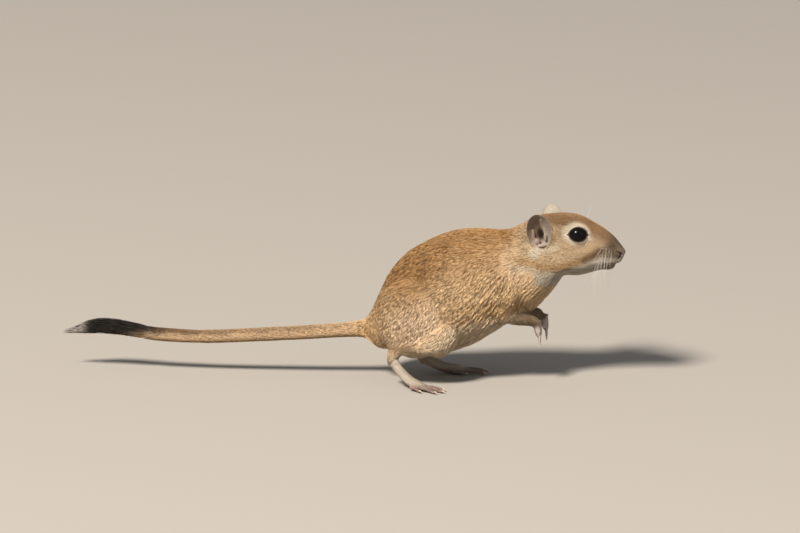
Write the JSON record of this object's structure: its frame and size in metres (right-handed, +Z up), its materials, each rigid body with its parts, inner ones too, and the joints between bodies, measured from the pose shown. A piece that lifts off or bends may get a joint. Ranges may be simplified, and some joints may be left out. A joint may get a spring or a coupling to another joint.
{
  "type": "gerbil",
  "caption": "Still, life-size model of a sandy jird, a gerbil, that leans forward on its hind feet with its forepaws held up and its tufted tail out behind.",
  "frame": {"origin": "on the floor, under the middle of the box round the whole animal", "axes": "+X the way the animal faces, +Y its left side, +Z up"},
  "size_m": [0.2556, 0.0602, 0.0786],
  "materials": {
    "sandy_coat": "short sandy fur, finely streaked with dark and pale hairs, white on the belly",
    "pale_coat": "very short off-white fur",
    "black_coat": "longer blackish hair with a white tip",
    "ear_skin": "thin, finely haired skin",
    "eye": "wet and glossy, nearly black",
    "claw": "smooth pale horn",
    "whisker": "stiff pale hairs"
  },
  "bodies": {
    "root": {"head": "sandy_coat", "ear_left": "ear_skin", "ear_right": "ear_skin", "eye_left": "eye", "eye_right": "eye", "neck": "sandy_coat", "torso": "sandy_coat", "upper_arm_left": "sandy_coat", "upper_arm_right": "sandy_coat", "forearm_left": "pale_coat", "forearm_right": "pale_coat", "forepaw_left": "pale_coat", "forepaw_right": "pale_coat", "thigh_left": "sandy_coat", "thigh_right": "sandy_coat", "lower_leg_left": "pale_coat", "lower_leg_right": "pale_coat", "hind_foot_left": "pale_coat", "hind_foot_right": "pale_coat", "tail_root": "sandy_coat", "tail_middle": "sandy_coat", "tail_end": "sandy_coat", "tail_tuft": "black_coat"}
  },
  "joints": []
}
